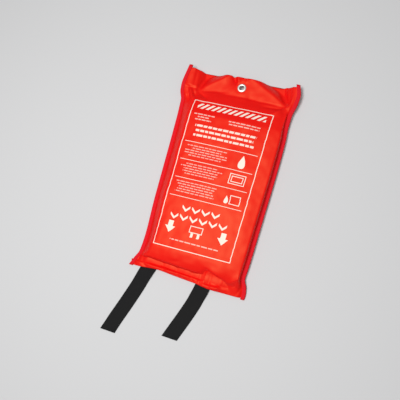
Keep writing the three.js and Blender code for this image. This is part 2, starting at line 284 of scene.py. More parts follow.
class Graph:
    """A shader node tree with short calls for its nodes."""

    def __init__(self, tree: NodeTree) -> None:
        """Takes the node tree to add to."""
        self.tree = tree

    def node(self, kind: str, **settings: object) -> Node:
        """Adds a node and sets its properties.

        Args:
            kind: the node's type name.
            settings: properties by name.

        Returns:
            The new node.
        """
        made = self.tree.nodes.new(kind)
        for key, value in settings.items():
            setattr(made, key, value)
        return made

    def join(self, socket: NodeSocket, value: Union[Socket, Colour]) -> None:
        """Links a socket to another one, or sets its value."""
        if isinstance(value, NodeSocket):
            self.tree.links.new(value, socket)
        else:
            socket.default_value = value

    def math(self, operation: str, *values: Socket) -> NodeSocket:
        """Adds a Math node.

        Args:
            operation: the node's operation.
            values: its inputs, sockets or numbers.

        Returns:
            The node's output.
        """
        made = self.node("ShaderNodeMath", operation=operation)
        for socket, value in zip(made.inputs, values):
            self.join(socket, value)
        return made.outputs[0]

    def times(self, first: Socket, *others: Socket) -> NodeSocket:
        """Returns the product of its inputs, taken in order."""
        for other in others:
            first = self.math("MULTIPLY", first, other)
        return first

    def minus(self, a: Socket, b: Socket) -> NodeSocket:
        """Returns a less b."""
        return self.math("SUBTRACT", a, b)

    def under(self, a: Socket, b: Socket) -> NodeSocket:
        """Returns 1 where a is less than b, and 0 elsewhere."""
        return self.math("LESS_THAN", a, b)

    def over(self, a: Socket, b: Socket) -> NodeSocket:
        """Returns 1 where a is greater than b, and 0 elsewhere."""
        return self.math("GREATER_THAN", a, b)

    def apart(self, a: Socket, b: Socket) -> NodeSocket:
        """Returns how far a lies from b."""
        return self.math("ABSOLUTE", self.minus(a, b))

    def group(self, kind: NodeTree, **inputs: Socket) -> NodeSocket:
        """Places a node group.

        Args:
            kind: the group's tree.
            inputs: values or sockets by input name, with underscores for spaces.

        Returns:
            The group's first output.
        """
        made = self.node("ShaderNodeGroup", node_tree=kind)
        for key, value in inputs.items():
            self.join(made.inputs[key.replace("_", " ")], value)
        return made.outputs[0]

    def panel_place(self) -> tuple[NodeSocket, NodeSocket, NodeSocket]:
        """Returns the place on the UV map "panel", and the X and Y of it."""
        place = self.node("ShaderNodeUVMap", uv_map="panel").outputs[0]
        parts = self.node("ShaderNodeSeparateXYZ")
        self.join(parts.inputs[0], place)
        return place, parts.outputs[0], parts.outputs[1]

    def grain(self, place: NodeSocket, scale: float, detail: float = 2.0, space: str = "2D") -> NodeSocket:
        """Adds a Noise Texture.

        Args:
            place: the coordinates.
            scale: its scale.
            detail: its detail.
            space: its dimensions, "2D" or "3D".

        Returns:
            The noise's value.
        """
        made = self.node("ShaderNodeTexNoise", noise_dimensions=space)
        self.join(made.inputs["Vector"], place)
        made.inputs["Scale"].default_value = scale
        made.inputs["Detail"].default_value = detail
        return made.outputs["Fac"]

    def blend(self, share: NodeSocket, first: Paint, second: Paint) -> NodeSocket:
        """Returns two colours mixed by a share."""
        made = self.node("ShaderNodeMix", data_type="RGBA")
        self.join(made.inputs["Factor"], share)
        self.join(made.inputs["A"], first)
        self.join(made.inputs["B"], second)
        return made.outputs["Result"]

    def bump(self, height: NodeSocket, strength: float, distance: float) -> NodeSocket:
        """Returns the normal of a surface that follows a height."""
        made = self.node("ShaderNodeBump")
        made.inputs["Strength"].default_value = strength
        made.inputs["Distance"].default_value = distance
        self.join(made.inputs["Height"], height)
        return made.outputs["Normal"]


def new_group(
    name: str, inputs: Sequence[str], output: str = "Mask"
) -> tuple[NodeTree, Graph, dict[str, NodeSocket], NodeSocket]:
    """Starts a shader node group of plain numbers.

    Args:
        name: the group's name.
        inputs: names of its number inputs.
        output: name of its number output.

    Returns:
        The tree, a graph on it, its inputs by name, and the socket that takes its result.
    """
    tree = bpy.data.node_groups.new(name, "ShaderNodeTree")
    for label in inputs:
        tree.interface.new_socket(name=label, in_out="INPUT", socket_type="NodeSocketFloat")
    tree.interface.new_socket(name=output, in_out="OUTPUT", socket_type="NodeSocketFloat")
    graph = Graph(tree)
    entry = graph.node("NodeGroupInput")
    leave = graph.node("NodeGroupOutput")
    return tree, graph, {s.name: s for s in entry.outputs if s.name}, leave.inputs[output]


def new_material(name: str) -> tuple[Material, Graph, bpy.types.bpy_prop_collection]:
    """Returns a new material, a graph on its nodes and the inputs of its Principled BSDF."""
    made = bpy.data.materials.new(name)
    made.use_nodes = True
    return made, Graph(made.node_tree), made.node_tree.nodes["Principled BSDF"].inputs


class Effects:
    """The shader node groups that the finishes share."""

    RAGGED = 1.6  # how far a line of print may stop short, in words
    LINE_SHIFT = 7.3  # moves the words from one line to the next
    UNEVEN_WORDS = 0.8
    WORD_GAP = 0.09
    DROP_FOOT = 0.45
    DROP_TIP = 1.15
    DROP_FULLNESS = 2.05
    CHEVRON_SLOPE = 0.95
    CHEVRON_REACH = 0.4
    TINY = 0.0001

    def __init__(self) -> None:
        """Builds each group once."""
        self.weave = self._weave()
        self.bar = self._bar()
        self.lines = self._lines()
        self.drop = self._drop()
        self.arrow = self._arrow()
        self.stripes = self._stripes()
        self.chevrons = self._chevrons()

    def _weave(self) -> NodeTree:
        """Returns the height of a plain weave from flat coordinates and the pitch of its threads."""
        tree, g, at, out = new_group("plain_weave", ["X", "Y", "Warp", "Weft"], "Height")
        warp = g.math("SINE", g.times(g.math("DIVIDE", at["X"], at["Warp"]), math.tau))
        weft = g.math("SINE", g.times(g.math("DIVIDE", at["Y"], at["Weft"]), math.tau))
        g.join(out, g.math("MULTIPLY_ADD", g.times(warp, weft), 0.5, 0.5))
        return tree

    def _bar(self) -> NodeTree:
        """Returns the mask of a printed rectangle, filled or a line of the given stroke."""
        names = ["X", "Y", "Centre X", "Centre Y", "Half Width", "Half Height", "Stroke"]
        tree, g, at, out = new_group("printed_bar", names)
        dx = g.minus(g.apart(at["X"], at["Centre X"]), at["Half Width"])
        dy = g.minus(g.apart(at["Y"], at["Centre Y"]), at["Half Height"])
        outside = g.math("MAXIMUM", dx, dy)
        g.join(out, g.times(g.under(outside, 0.0), g.over(outside, g.times(at["Stroke"], -1.0))))
        return tree

    def _lines(self) -> NodeTree:
        """Returns the mask of plain word-like bars in even lines, which stand for small print."""
        names = ["X", "Y", "Left", "Right", "Top", "Pitch", "Height", "Count", "Word", "Seed"]
        tree, g, at, out = new_group("printed_lines", names)
        depth = g.math("DIVIDE", g.minus(at["Top"], at["Y"]), at["Pitch"])
        line = g.math("FLOOR", depth)
        in_line = g.under(g.math("FRACT", depth), g.math("DIVIDE", at["Height"], at["Pitch"]))
        in_block = g.times(g.over(depth, 0.0), g.under(depth, at["Count"]))
        jitter = g.node("ShaderNodeTexWhiteNoise", noise_dimensions="1D")
        g.join(jitter.inputs["W"], g.math("ADD", line, at["Seed"]))
        cut = g.times(jitter.outputs["Value"], g.times(at["Word"], self.RAGGED))
        middle = g.times(g.math("ADD", at["Left"], at["Right"]), 0.5)
        half = g.minus(g.minus(at["Right"], middle), cut)
        in_width = g.under(g.apart(at["X"], middle), half)
        words = g.node("ShaderNodeTexVoronoi", voronoi_dimensions="1D", feature="DISTANCE_TO_EDGE")
        start = g.math("MULTIPLY_ADD", line, self.LINE_SHIFT, at["Seed"])
        g.join(words.inputs["W"], g.math("ADD", g.math("DIVIDE", at["X"], at["Word"]), start))
        words.inputs["Scale"].default_value = 1.0
        words.inputs["Randomness"].default_value = self.UNEVEN_WORDS
        spaced = g.over(words.outputs["Distance"], self.WORD_GAP)
        g.join(out, g.times(in_line, in_block, in_width, spaced))
        return tree

    def _drop(self) -> NodeTree:
        """Returns the mask of an upright drop."""
        names = ["X", "Y", "Centre X", "Foot", "Height", "Half Width"]
        tree, g, at, out = new_group("printed_drop", names)
        share = g.math("DIVIDE", g.minus(at["Y"], at["Foot"]), at["Height"])
        inside = g.times(g.over(share, 0.0), g.under(share, 1.0))
        swell = g.math("POWER", g.math("MAXIMUM", share, self.TINY), self.DROP_FOOT)
        taper = g.math("POWER", g.math("MAXIMUM", g.minus(1.0, share), self.TINY), self.DROP_TIP)
        reach = g.times(g.times(swell, taper), g.times(at["Half Width"], self.DROP_FULLNESS))
        g.join(out, g.times(inside, g.under(g.apart(at["X"], at["Centre X"]), reach)))
        return tree

    def _arrow(self) -> NodeTree:
        """Returns the mask of a solid arrow that points down."""
        names = ["X", "Y", "Centre X", "Tip", "Head", "Length", "Half Head", "Half Stem"]
        tree, g, at, out = new_group("printed_arrow", names)
        off = g.apart(at["X"], at["Centre X"])
        rise = g.minus(at["Y"], at["Tip"])
        spread = g.times(g.math("DIVIDE", rise, at["Head"]), at["Half Head"])
        head = g.times(g.under(off, spread), g.under(rise, at["Head"]))
        along_stem = g.times(g.over(rise, at["Head"]), g.under(rise, at["Length"]))
        g.join(out, g.math("MAXIMUM", head, g.times(g.under(off, at["Half Stem"]), along_stem)))
        return tree

    def _stripes(self) -> NodeTree:
        """Returns the mask of even slanting stripes."""
        tree, g, at, out = new_group("slanting_stripes", ["X", "Y", "Pitch", "Share"])
        turn = g.math("DIVIDE", g.minus(at["X"], at["Y"]), at["Pitch"])
        g.join(out, g.under(g.math("FRACT", turn), at["Share"]))
        return tree

    def _chevrons(self) -> NodeTree:
        """Returns the mask of a row of chevrons that point down."""
        names = ["X", "Y", "Tip", "Pitch", "Half Stroke", "First", "Last"]
        tree, g, at, out = new_group("chevron_row", names)
        cell = g.math("DIVIDE", at["X"], at["Pitch"])
        off = g.times(g.apart(g.math("FRACT", cell), 0.5), at["Pitch"])
        number = g.math("FLOOR", cell)
        counted = g.times(g.over(number, g.minus(at["First"], 0.5)),
                          g.under(number, g.math("ADD", at["Last"], 0.5)))
        arm = g.math("MULTIPLY_ADD", off, self.CHEVRON_SLOPE, at["Tip"])
        near = g.under(g.apart(at["Y"], arm), at["Half Stroke"])
        in_cell = g.under(off, g.times(at["Pitch"], self.CHEVRON_REACH))
        g.join(out, g.times(near, in_cell, counted))
        return tree


@dataclass(frozen=True)
class Print:
    """The white print on the front panel: a frame, plain bars where words would be, and plain marks.

    Places are millimetres from the middle of the back, across and up the flat front panel.
    """

    centre_x: float = 2.0
    centre_y: float = -8.0
    half_width: float = 66.2
    half_height: float = 124.6
    stroke: float = 1.25
    thin: float = 1.2
    first_rule: float = 43.0
    box_height: float = 30.6
    solid: float = 100.0

    def mask(self, g: Graph, fx: Effects, x: Socket, y: Socket) -> NodeSocket:
        """Builds the whole print.

        Args:
            g: the material's graph.
            fx: the shared groups.
            x: millimetres across the panel.
            y: millimetres up the panel.

        Returns:
            A mask that is 1 on white.
        """
        def mark(kind: NodeTree, **sizes: float) -> NodeSocket:
            """Returns one printed mark."""
            return g.group(kind, X=x, Y=y, **sizes)

        def bar(cx: float, cy: float, hw: float, hh: float, stroke: float = self.solid) -> NodeSocket:
            """Returns one printed bar or, with a thin stroke, an outline."""
            return mark(fx.bar, Centre_X=cx, Centre_Y=cy, Half_Width=hw, Half_Height=hh, Stroke=stroke)

        def lines(left: float, right: float, top: float, pitch: float, height: float, count: float,
                  word: float, seed: float, ink: float) -> NodeSocket:
            """Returns a block of word-like lines in a share of full ink."""
            return g.times(ink, mark(fx.lines, Left=left, Right=right, Top=top, Pitch=pitch, Height=height,
                                     Count=count, Word=word, Seed=seed))

        def chevrons(tip: float, first: int, last: int) -> NodeSocket:
            """Returns one row of chevrons."""
            return mark(fx.chevrons, Tip=tip, Pitch=16.5, Half_Stroke=2.0, First=first, Last=last)

        def arrow(centre: float) -> NodeSocket:
            """Returns one arrow."""
            return mark(fx.arrow, Centre_X=centre, Tip=-109, Head=10.5, Length=19.5, Half_Head=8.8,
                        Half_Stem=4.2)

        rules = [self.first_rule - self.box_height * step for step in range(4)]
        shown = [
            bar(self.centre_x, self.centre_y, self.half_width, self.half_height, self.stroke),
            g.times(bar(2, 106.4, 57, 4.9), mark(fx.stripes, Pitch=9.5, Share=0.52)),
            lines(-58, -20, 92, 4.6, 1.9, 3, 7.0, 12.0, 0.6),
            lines(-4, 62, 89.7, 4.6, 1.9, 2, 8.0, 31.0, 0.6),
            lines(-54, 58, 73.5, 8.2, 3.6, 3, 9.0, 47.0, 0.9),
            *(bar(self.centre_x, rule, 60.5, 0.42) for rule in rules),
            *(lines(-56, 18, rule - 5.4, 4.1, 1.6, 5, 8.0, 61.0 + 9 * i, 0.5)
              for i, rule in enumerate(rules[:3])),
            mark(fx.drop, Centre_X=42, Foot=16.5, Height=22, Half_Width=7),
            bar(42, -2.0, 13, 8.6, self.thin),
            bar(42, -2.0, 9.4, 5.0, self.thin),
            mark(fx.drop, Centre_X=34, Foot=-43, Height=13, Half_Width=4.2),
            bar(48, -35.4, 8.5, 7.4, self.thin),
            chevrons(-69.5, -2, 1),
            chevrons(-84.5, -3, 2),
            arrow(-43),
            arrow(46.5),
            bar(1.5, -96.0, 11, 5.6, self.thin),
            bar(-4.0, -105.4, 2.1, 3.6),
            bar(7.0, -105.4, 2.1, 3.6),
            lines(-50, 57, -117.6, 5, 1.9, 1, 9.0, 113.0, 0.6),
        ]
        total = shown[0]
        for one in shown[1:]:
            total = g.math("MAXIMUM", total, one)
        return total


@dataclass(frozen=True)
class CoatedCloth:
    """Smooth red coated cloth with a fine weave under its coat, and the white print."""

    red: Colour = (0.79, 0.003, 0.004, 1.0)
    deep: Colour = (0.73, 0.002, 0.005, 1.0)
    gloss: Colour = (1.0, 1.0, 0.40, 1.0)
    white: Colour = (0.86, 0.80, 0.70, 1.0)
    ink: float = 0.94
    ink_relief: float = 0.6
    ink_roughness: float = 0.1
    roughness: float = 0.5
    specular: float = 0.29
    drift: float = 24.0
    drift_share: float = 0.5
    uneven: float = 0.12
    warp: float = 0.00052
    weft: float = 0.0006

    def material(self, fx: Effects) -> Material:
        """Returns the finish as a material that reads the UV map "panel"."""
        made, g, shader = new_material("coated_cloth")
        place, x, y = g.panel_place()
        printed = Print().mask(g, fx, g.times(x, 1 / MM), g.times(y, 1 / MM))
        drift = g.grain(place, self.drift, 3.0)
        cloth = g.blend(g.times(drift, self.drift_share), self.red, self.deep)
        g.join(shader["Base Color"], g.blend(g.times(printed, self.ink), cloth, self.white))
        sheen = g.math("MULTIPLY_ADD", drift, self.uneven, self.roughness - self.uneven / 2)
        g.join(shader["Roughness"], g.math("MULTIPLY_ADD", printed, self.ink_roughness, sheen))
        weave = g.group(fx.weave, X=x, Y=y, Warp=self.warp, Weft=self.weft)
        relief = g.math("MULTIPLY_ADD", printed, self.ink_relief, weave)
        g.join(shader["Normal"], g.bump(relief, strength=0.20, distance=0.00008))
        shader["Specular IOR Level"].default_value = self.specular
        shader["Specular Tint"].default_value = self.gloss
        return made


@dataclass(frozen=True)
class WovenTape:
    """A woven tape: edge binding, webbing or thread, with painted shade where its weave lies low."""

    name: str
    colour: Colour
    # darker colour: painted shade in the weave's low places, and random tone where the fuzz is low
    valley_shade_and_tone: Colour
    rib: float
    pick: float
    relief: float
    roughness: float = 0.78
    specular: float = 0.27
    fuzz: float = 900.0
    fuzz_share: float = 0.4
    uneven: float = 0.12

    def material(self, fx: Effects) -> Material:
        """Returns the finish as a material that reads the UV map "panel"."""
        made, g, shader = new_material(self.name)
        place, x, y = g.panel_place()
        weave = g.group(fx.weave, X=x, Y=y, Warp=self.rib, Weft=self.pick)
        fuzz = g.grain(place, self.fuzz)
        # Painted shade: the colour darkens where the weave's height is low, mixed with random tone from the
        # fuzz
        share = g.math("MULTIPLY_ADD", fuzz, self.fuzz_share, g.times(weave, 1.0 - self.fuzz_share))
        g.join(shader["Base Color"], g.blend(share, self.valley_shade_and_tone, self.colour))
        sheen = g.math("MULTIPLY_ADD", fuzz, self.uneven, self.roughness - self.uneven / 2)
        g.join(shader["Roughness"], sheen)
        g.join(shader["Normal"], g.bump(weave, strength=0.8, distance=self.relief))
        shader["Specular IOR Level"].default_value = self.specular
        return made


@dataclass(frozen=True)
class NickelPlate:
    """Nickel plating with a soft brushed gloss and faint wear."""

    colour: Colour = (0.92, 0.89, 0.83, 1.0)
    worn: Colour = (0.78, 0.75, 0.69, 1.0)
    roughness: float = 0.36
    wear: float = 700.0
    wear_share: float = 0.5
    uneven: float = 0.18

    def material(self) -> Material:
        """Returns the finish as a material on Object coordinates."""
        made, g, shader = new_material("nickel")
        place = g.node("ShaderNodeTexCoord").outputs["Object"]
        wear = g.grain(place, self.wear, 4.0, "3D")
        g.join(shader["Base Color"], g.blend(g.times(wear, self.wear_share), self.colour, self.worn))
        shader["Metallic"].default_value = 1.0
        g.join(shader["Roughness"], g.math("MULTIPLY_ADD", wear, self.uneven, self.roughness))
        return made


class PackedForm:
    """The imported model's cloth solids, read as heights and side lines."""

    NUDGES = (0.0, 0.0004, -0.0004, 0.001)
    CLEAR = 0.1  # a height well off the pouch

    def __init__(self, nodes: dict[str, Object]) -> None:
        """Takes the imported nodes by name."""
        self.nodes = nodes
        self.tree = self._tree("pouch", "header")
        self.lines = {
            Side.LEFT: self._side_line("binding_left", min),
            Side.RIGHT: self._side_line("binding_right", max),
        }

    def _tree(self, *names: str) -> BVHTree:
        """Returns a search tree over the named nodes' triangles."""
        points: list[Vector] = []
        faces: list[list[int]] = []
        for name in names:
            data = self.nodes[name].data
            first = len(points)
            points.extend(v.co.copy() for v in data.vertices)
            faces.extend([first + i for i in p.vertices] for p in data.polygons)
        return BVHTree.FromPolygons(points, faces)

    def _side_line(self, name: str, outermost: Callable[..., float]) -> tuple[list[float], ...]:
        """Reads a binding row by row.

        Args:
            name: the binding's node.
            outermost: min on the left, max on the right.

        Returns:
            Rising y, the outer edge's x and the seam's height.
        """
        rows: dict[float, list[Vector]] = {}
        for vert in self.nodes[name].data.vertices:
            rows.setdefault(round(vert.co.y, 5), []).append(vert.co)
        ys = sorted(rows)
        xs = [outermost(p.x for p in rows[y]) for y in ys]
        zs = [(min(p.z for p in rows[y]) + max(p.z for p in rows[y])) / 2 for y in ys]
        return ys, xs, zs

    def seam(self, side: Side, y: float) -> tuple[float, float]:
        """Returns the binding's outer x and the seam's height at y."""
        ys, xs, zs = self.lines[side]
        return along(ys, xs, y), along(ys, zs, y)

    def height(self, face: Face, x: float, y: float) -> Optional[float]:
        """Returns the cloth's height at a place, or None where there is no cloth."""
        for nudge in self.NUDGES:
            start = Vector((x, y + nudge, self.CLEAR * face.value))
            hit = self.tree.ray_cast(start, Vector((0, 0, -face.value)))[0]
            if hit is not None:
                return hit.z
        return None


@dataclass
class Section:
    """One row of a panel: points across the cloth and the length along the cloth at each."""

    points: list[Vector]

    def __post_init__(self) -> None:
        """Measures along the points."""
        self.lengths = running(math.hypot(b.x - a.x, b.z - a.z) for a, b in pairwise(self.points))

    def at(self, length: float) -> Vector:
        """Returns the point at a length from the left seam."""
        if length >= self.lengths[-1]:
            return self.points[-1].copy()
        i = max(0, bisect_right(self.lengths, length) - 1)
        share = (length - self.lengths[i]) / (self.lengths[i + 1] - self.lengths[i])
        return self.points[i].lerp(self.points[i + 1], share)

    def nearest(self, x: float) -> int:
        """Returns the index of the point closest to x."""
        return min(range(len(self.points)), key=lambda i: abs(self.points[i].x - x))


@dataclass
class PouchSkin:
    """The pouch's cloth as one skin: front and back panel, header, lips and the pocket behind them.

    A softness is how far a change takes to come in. A band names where something holds across the
    pouch: its low end and softness, then its high end and softness.
    """

    form: PackedForm
    creases: Sequence[Crease]
    columns: int = 136
    rows: int = 250
    sample: float = 0.0006
    seam_inset: float = 0.00115
    binding_width: float = 0.0065
    softening: int = 5
    hole_radius: float = 0.0052

    # The mouth and its pocket
    mouth_y: float = -0.177
    lip_search: tuple[float, float, float] = (-0.006, 0.01, 0.0002)
    lip_places: int = 33
    lip_spacing: int = 5
    lip_margin: float = 0.0003
    edge_margin: float = 0.0001
    wave_reach: float = 0.024
    front_lip: float = 0.0011
    back_lip: float = 0.0009
    lip_share: float = 0.45
    lip_roll: float = 0.0002
    pocket_rows: tuple[int, ...] = (6, 19)
    pocket: float = 0.026

    # How far the front lip stands up
    lift: float = 0.0022
    lifted_band: Band = (-0.092, 0.02, 0.064, 0.016)
    tape_band: Band = (0.012, 0.015, 0.062, 0.012)
    lift_reach: float = 0.0125
    lift_reach_over_tape: float = 0.019
    lip_level: float = 0.9
    lip_swell: float = 0.4
    swell_from: float = 0.008
    swell_softness: float = 0.02
    lip_waver: float = 0.1
    waver_turn: float = 95.0
    waver_start: float = 0.6

    # Slack, ripple and what holds the cloth
    slack: float = 0.85
    slack_from: float = 0.092
    slack_to: float = 0.141
    ripple: float = 0.0012
    ripple_waves: tuple[tuple[float, float, float], ...] = ((34.0, 26.0, 1.7), (95.0, 80.0, 5.3))
    fine_share: float = 0.45
    seam_softness: float = 0.004
    eyelet_hold: float = 0.0085
    eyelet_softness: float = 0.005
    upright_below: float = -0.15
    upright_softness: float = 0.01
    header_softness: float = 0.008

    # How near the layers come to each other and to the floor
    above_floor: float = 0.0003
    above_back: float = 0.0012
    above_pocket: float = 0.0024
    above_tapes: float = 0.0046
    tape_spans: tuple[tuple[float, float], ...] = ((-0.084, -0.044), (0.014, 0.049))
    layers_apart: float = 0.0011
    overlap: float = 0.004

    # How the filling pulls the print askew
    middle_x: float = 0.002
    print_shift: float = 0.0007
    print_lean: float = 0.0044
    flare: float = 0.2
    flare_from: float = -0.028
    skew: float = 0.105
    skew_from: float = 0.09

    def __post_init__(self) -> None:
        """Reads the lips' line, the header's edge and the eyelet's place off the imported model."""
        self.header_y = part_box("header")[0].y
        self.top_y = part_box("header")[1].y
        low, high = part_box("eyelet")
        self.eyelet = (low + high) / 2
        places = range(-self.lip_places, self.lip_places + 1)
        self.lip_x = [self.sample * self.lip_spacing * i for i in places]
        self.lip_y = [self._lip_at(x) for x in self.lip_x]

    def _lip_at(self, x: float) -> float:
        """Returns the y of the lips' edge at x."""
        low, high, step = self.lip_search
        y = self.mouth_y + low
        while y < self.mouth_y + high and self.form.height(Face.FRONT, x, y) is None:
            y += step
        return y

    def _row_y(self, x: float, row: int) -> float:
        """Returns the y of a row of cloth at x; rows near the mouth follow the lips' wave."""
        y = mix(self.mouth_y, self.top_y - self.edge_margin, row / self.rows)
        wave = along(self.lip_x, self.lip_y, x) - self.mouth_y
        return y + (1.0 - ease((y - self.mouth_y) / self.wave_reach)) * (wave + self.lip_margin)

    def _section(self, face: Face, row: int) -> Section:
        """Samples one row of a panel between the two seams."""
        y = mix(self.mouth_y, self.top_y, row / self.rows)
        left = self.form.seam(Side.LEFT, y)[0] + self.seam_inset
        right = self.form.seam(Side.RIGHT, y)[0] - self.seam_inset
        count = int((right - left) / self.sample)
        points: list[Vector] = []
        for i in range(count + 1):
            x = mix(left, right, i / count)
            row_y = self._row_y(x, row)
            z = self.form.height(face, x, row_y)
            if z is None:
                z = points[-1].z if points else self.form.seam(Side.LEFT, y)[1]
            points.append(Vector((x, row_y, z)))
        return Section(points)

    def pulled(self, across: float, up: float, aside: float) -> tuple[float, float]:
        """Gives flat coordinates on the panel, which the filling pulls a little askew.

        Args:
            across: length along the cloth from its middle line.
            up: length along the middle line.
            aside: moves the back panel's coordinates off the print.

        Returns:
            The flat coordinates.
        """
        spread = 1.0 + self.flare * (up - self.flare_from)
        skew = self.skew * (self.skew_from - up)
        straight = across + self.middle_x + self.print_shift - self.print_lean * up
        return straight / spread + aside, up - across * skew

    def panel(self, mesh: BMesh, face: Face) -> Lattice:
        """Adds one panel, evenly spaced along the cloth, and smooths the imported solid's facets.

        Args:
            mesh: takes the panel.
            face: which panel.

        Returns:
            Its points by column and row.
        """
        sections = [self._section(face, row) for row in range(self.rows + 1)]
        middles = [s.nearest(self.middle_x) for s in sections]
        spine = [s.points[m] for s, m in zip(sections, middles)]
        run = running(math.hypot(b.y - a.y, b.z - a.z) for a, b in pairwise(spine))
        origin = along([p.y for p in spine], run, 0.0)
        aside = 0.0 if face is Face.FRONT else OFF_PRINT

        def place(column: int, row: int) -> Vector:
            """Returns a point of the panel."""
            section = sections[row]
            return section.at(section.lengths[-1] * column / self.columns)

        def flat(column: int, row: int) -> tuple[float, float]:
            """Returns a point's place on the flat panel; the back's lie off the print."""
            section = sections[row]
            across = section.lengths[-1] * column / self.columns - section.lengths[middles[row]]
            return self.pulled(across, run[row] - origin, aside)

        lattice = lay_grid(mesh, self.columns, self.rows, place, flat, face)
        if face is Face.FRONT:
            self.slacken(lattice)
        inner = [v for (i, j), v in lattice.items() if 0 < i < self.columns and 0 < j < self.rows]
        for _ in range(self.softening):
            bmesh.ops.smooth_vert(mesh, verts=inner, factor=0.5, use_axis_x=True, use_axis_y=True,
                                  use_axis_z=True)
        return lattice

    def slacken(self, front: Lattice) -> None:
        """Lets the front panel run slack from the filling's shoulder down to the header."""
        first, last = (round((y - self.mouth_y) / (self.top_y - self.mouth_y) * self.rows)
                       for y in (self.slack_from, self.slack_to))
        for column in range(1, self.columns):
            low, high = front[(column, first)].co.z, front[(column, last)].co.z
            for row in range(first + 1, last):
                at = front[(column, row)].co
                chord = mix(low, high, (row - first) / (last - first))
                at.z = mix(at.z, chord, self.slack * self._freedom(at))

    def _off_axis(self, at: Vector) -> float:
        """Returns the distance from the eyelet's axis."""
        return math.hypot(at.x - self.eyelet.x, at.y - self.eyelet.y)

    def _freedom(self, at: Vector) -> float:
        """Returns how freely the cloth moves at a point: 0 in the seams and under the eyelet, 1 away."""
        left = self.form.seam(Side.LEFT, at.y)[0] + self.binding_width
        right = self.form.seam(Side.RIGHT, at.y)[0] - self.binding_width
        from_seam = min(at.x - left, right - at.x)
        from_eyelet = self._off_axis(at) - self.eyelet_hold
        return ease(from_seam / self.seam_softness) * ease(from_eyelet / self.eyelet_softness)

    def _lowest(self, at: Vector) -> float:
        """Returns how low the front panel may lie at a place: on the tapes, or on the back panel."""
        if at.y > self.mouth_y + self.pocket:
            return self.above_back
        return self.above_tapes if any(a < at.x < b for a, b in self.tape_spans) else self.above_pocket

    def _rippled(self, x: float, y: float) -> float:
        """Returns the height of the cloth's slight ripple, broad waves with finer ones on them."""
        broad, fine = (noise.noise(Vector((x * a, y * b, seed))) for a, b, seed in self.ripple_waves)
        return broad * self.ripple + fine * self.ripple * self.fine_share

    def _lip_rise(self, x: float, y: float) -> float:
        """Returns how far the front lip stands up, most of all over the right tape."""
        reach = mix(self.lift_reach, self.lift_reach_over_tape, within(x, self.tape_band))
        near_lip = 1.0 - ease((y - self.mouth_y) / reach)
        swell = self.lip_swell * ease((x - self.swell_from) / self.swell_softness)
        waver = self.lip_waver * math.sin(x * self.waver_turn + self.waver_start)
        return self.lift * near_lip * within(x, self.lifted_band) * (self.lip_level + swell + waver)

    def press(self, front: Lattice, back: Lattice) -> None:
        """Presses the creases and a slight ripple into the front panel and lifts its lip.

        In the header, where the two panels lie together, the back one follows the front one.

        Args:
            front: the front panel's points.
            back: the back panel's points.
        """
        moves: dict[BMVert, Vector] = {}
        for key, vert in front.items():
            x, y, _ = vert.co
            drop = sum(crease.drop(x, y) for crease in self.creases)
            inward = UP.lerp(vert.normal, ease((y - self.upright_below) / self.upright_softness))
            move = inward * (self._rippled(x, y) - drop) * self._freedom(vert.co)
            moves[vert] = move + UP * self._lip_rise(x, y)
            moves[back[key]] = UP * (move.z * ease((y - self.header_y) / self.header_softness))
        for vert, move in moves.items():
            vert.co += move
        for vert in front.values():
            vert.co.z = max(vert.co.z, self._lowest(vert.co))
        for vert in back.values():
            vert.co.z = max(vert.co.z, self.above_floor)

    def keep_apart(self, front: Lattice, back: Lattice) -> None:
        """Keeps the two panels from passing through each other in the header and at the lips."""
        for key, vert in front.items():
            under = back[key].co
            if abs(vert.co.x - under.x) < self.overlap:
                vert.co.z = max(vert.co.z, under.z + self.layers_apart)

    def cut_eyelet_hole(self, mesh: BMesh) -> None:
        """Cuts the hole through both panels and sews its edges together."""
        inside = [f for f in mesh.faces if self._off_axis(f.calc_center_median()) < self.hole_radius]
        rim = {v for f in inside for v in f.verts}
        bmesh.ops.delete(mesh, geom=inside, context="FACES")
        rim = [v for v in rim if v.is_valid]
        for vert in rim:
            scale = self.hole_radius / self._off_axis(vert.co)
            vert.co.x = self.eyelet.x + (vert.co.x - self.eyelet.x) * scale
            vert.co.y = self.eyelet.y + (vert.co.y - self.eyelet.y) * scale
        edges = [e for e in mesh.edges if e.is_boundary and e.verts[0] in rim and e.verts[1] in rim]
        bmesh.ops.bridge_loops(mesh, edges=edges)

    def _edge_chain(self, lattice: Lattice) -> list[BMEdge]:
        """Returns the edges up the left seam, along the header and down the right seam."""
        keys = [(0, j) for j in range(self.rows + 1)]
        keys += [(i, self.rows) for i in range(1, self.columns + 1)]
        keys += [(self.columns, j) for j in range(self.rows - 1, -1, -1)]
        return self._edges([lattice[key] for key in keys])

    @staticmethod
    def _edges(verts: Sequence[BMVert]) -> list[BMEdge]:
        """Returns the edges between neighbours of a row of points."""
        return [e for a, b in pairwise(verts) for e in a.link_edges if e.other_vert(a) is b]

    def _lining_up(self, mesh: BMesh, lattice: Lattice, other: Lattice, face: Face,
                   thick: float) -> list[BMEdge]:
        """Turns a lip inward and runs its inner side up the pocket.

        Args:
            mesh: holds both panels.
            lattice: the lip's own panel.
            other: the other panel.
            face: which panel the lip belongs to.
            thick: the lip's thickness.

        Returns:
            The edges of the pocket's inner end.
        """
        verts = [lattice[(i, 0)] for i in range(self.columns + 1)]
        edges = self._edges(verts)
        for row in (0, *self.pocket_rows):
            made = bmesh.ops.extrude_edge_only(mesh, edges=edges)["geom"]
            fresh = {v for v in made if isinstance(v, BMVert)}
            verts = [next(e.other_vert(v) for e in v.link_edges if e.other_vert(v) in fresh) for v in verts]
            for i, vert in enumerate(verts):
                over = lattice[(i, row)].co
                gap = abs(over.z - other[(i, row)].co.z)
                vert.co = over - UP * (face.value * min(thick, gap * self.lip_share))
                if row == 0:
                    vert.co.y += self.lip_roll
            edges = self._edges(verts)
        return edges

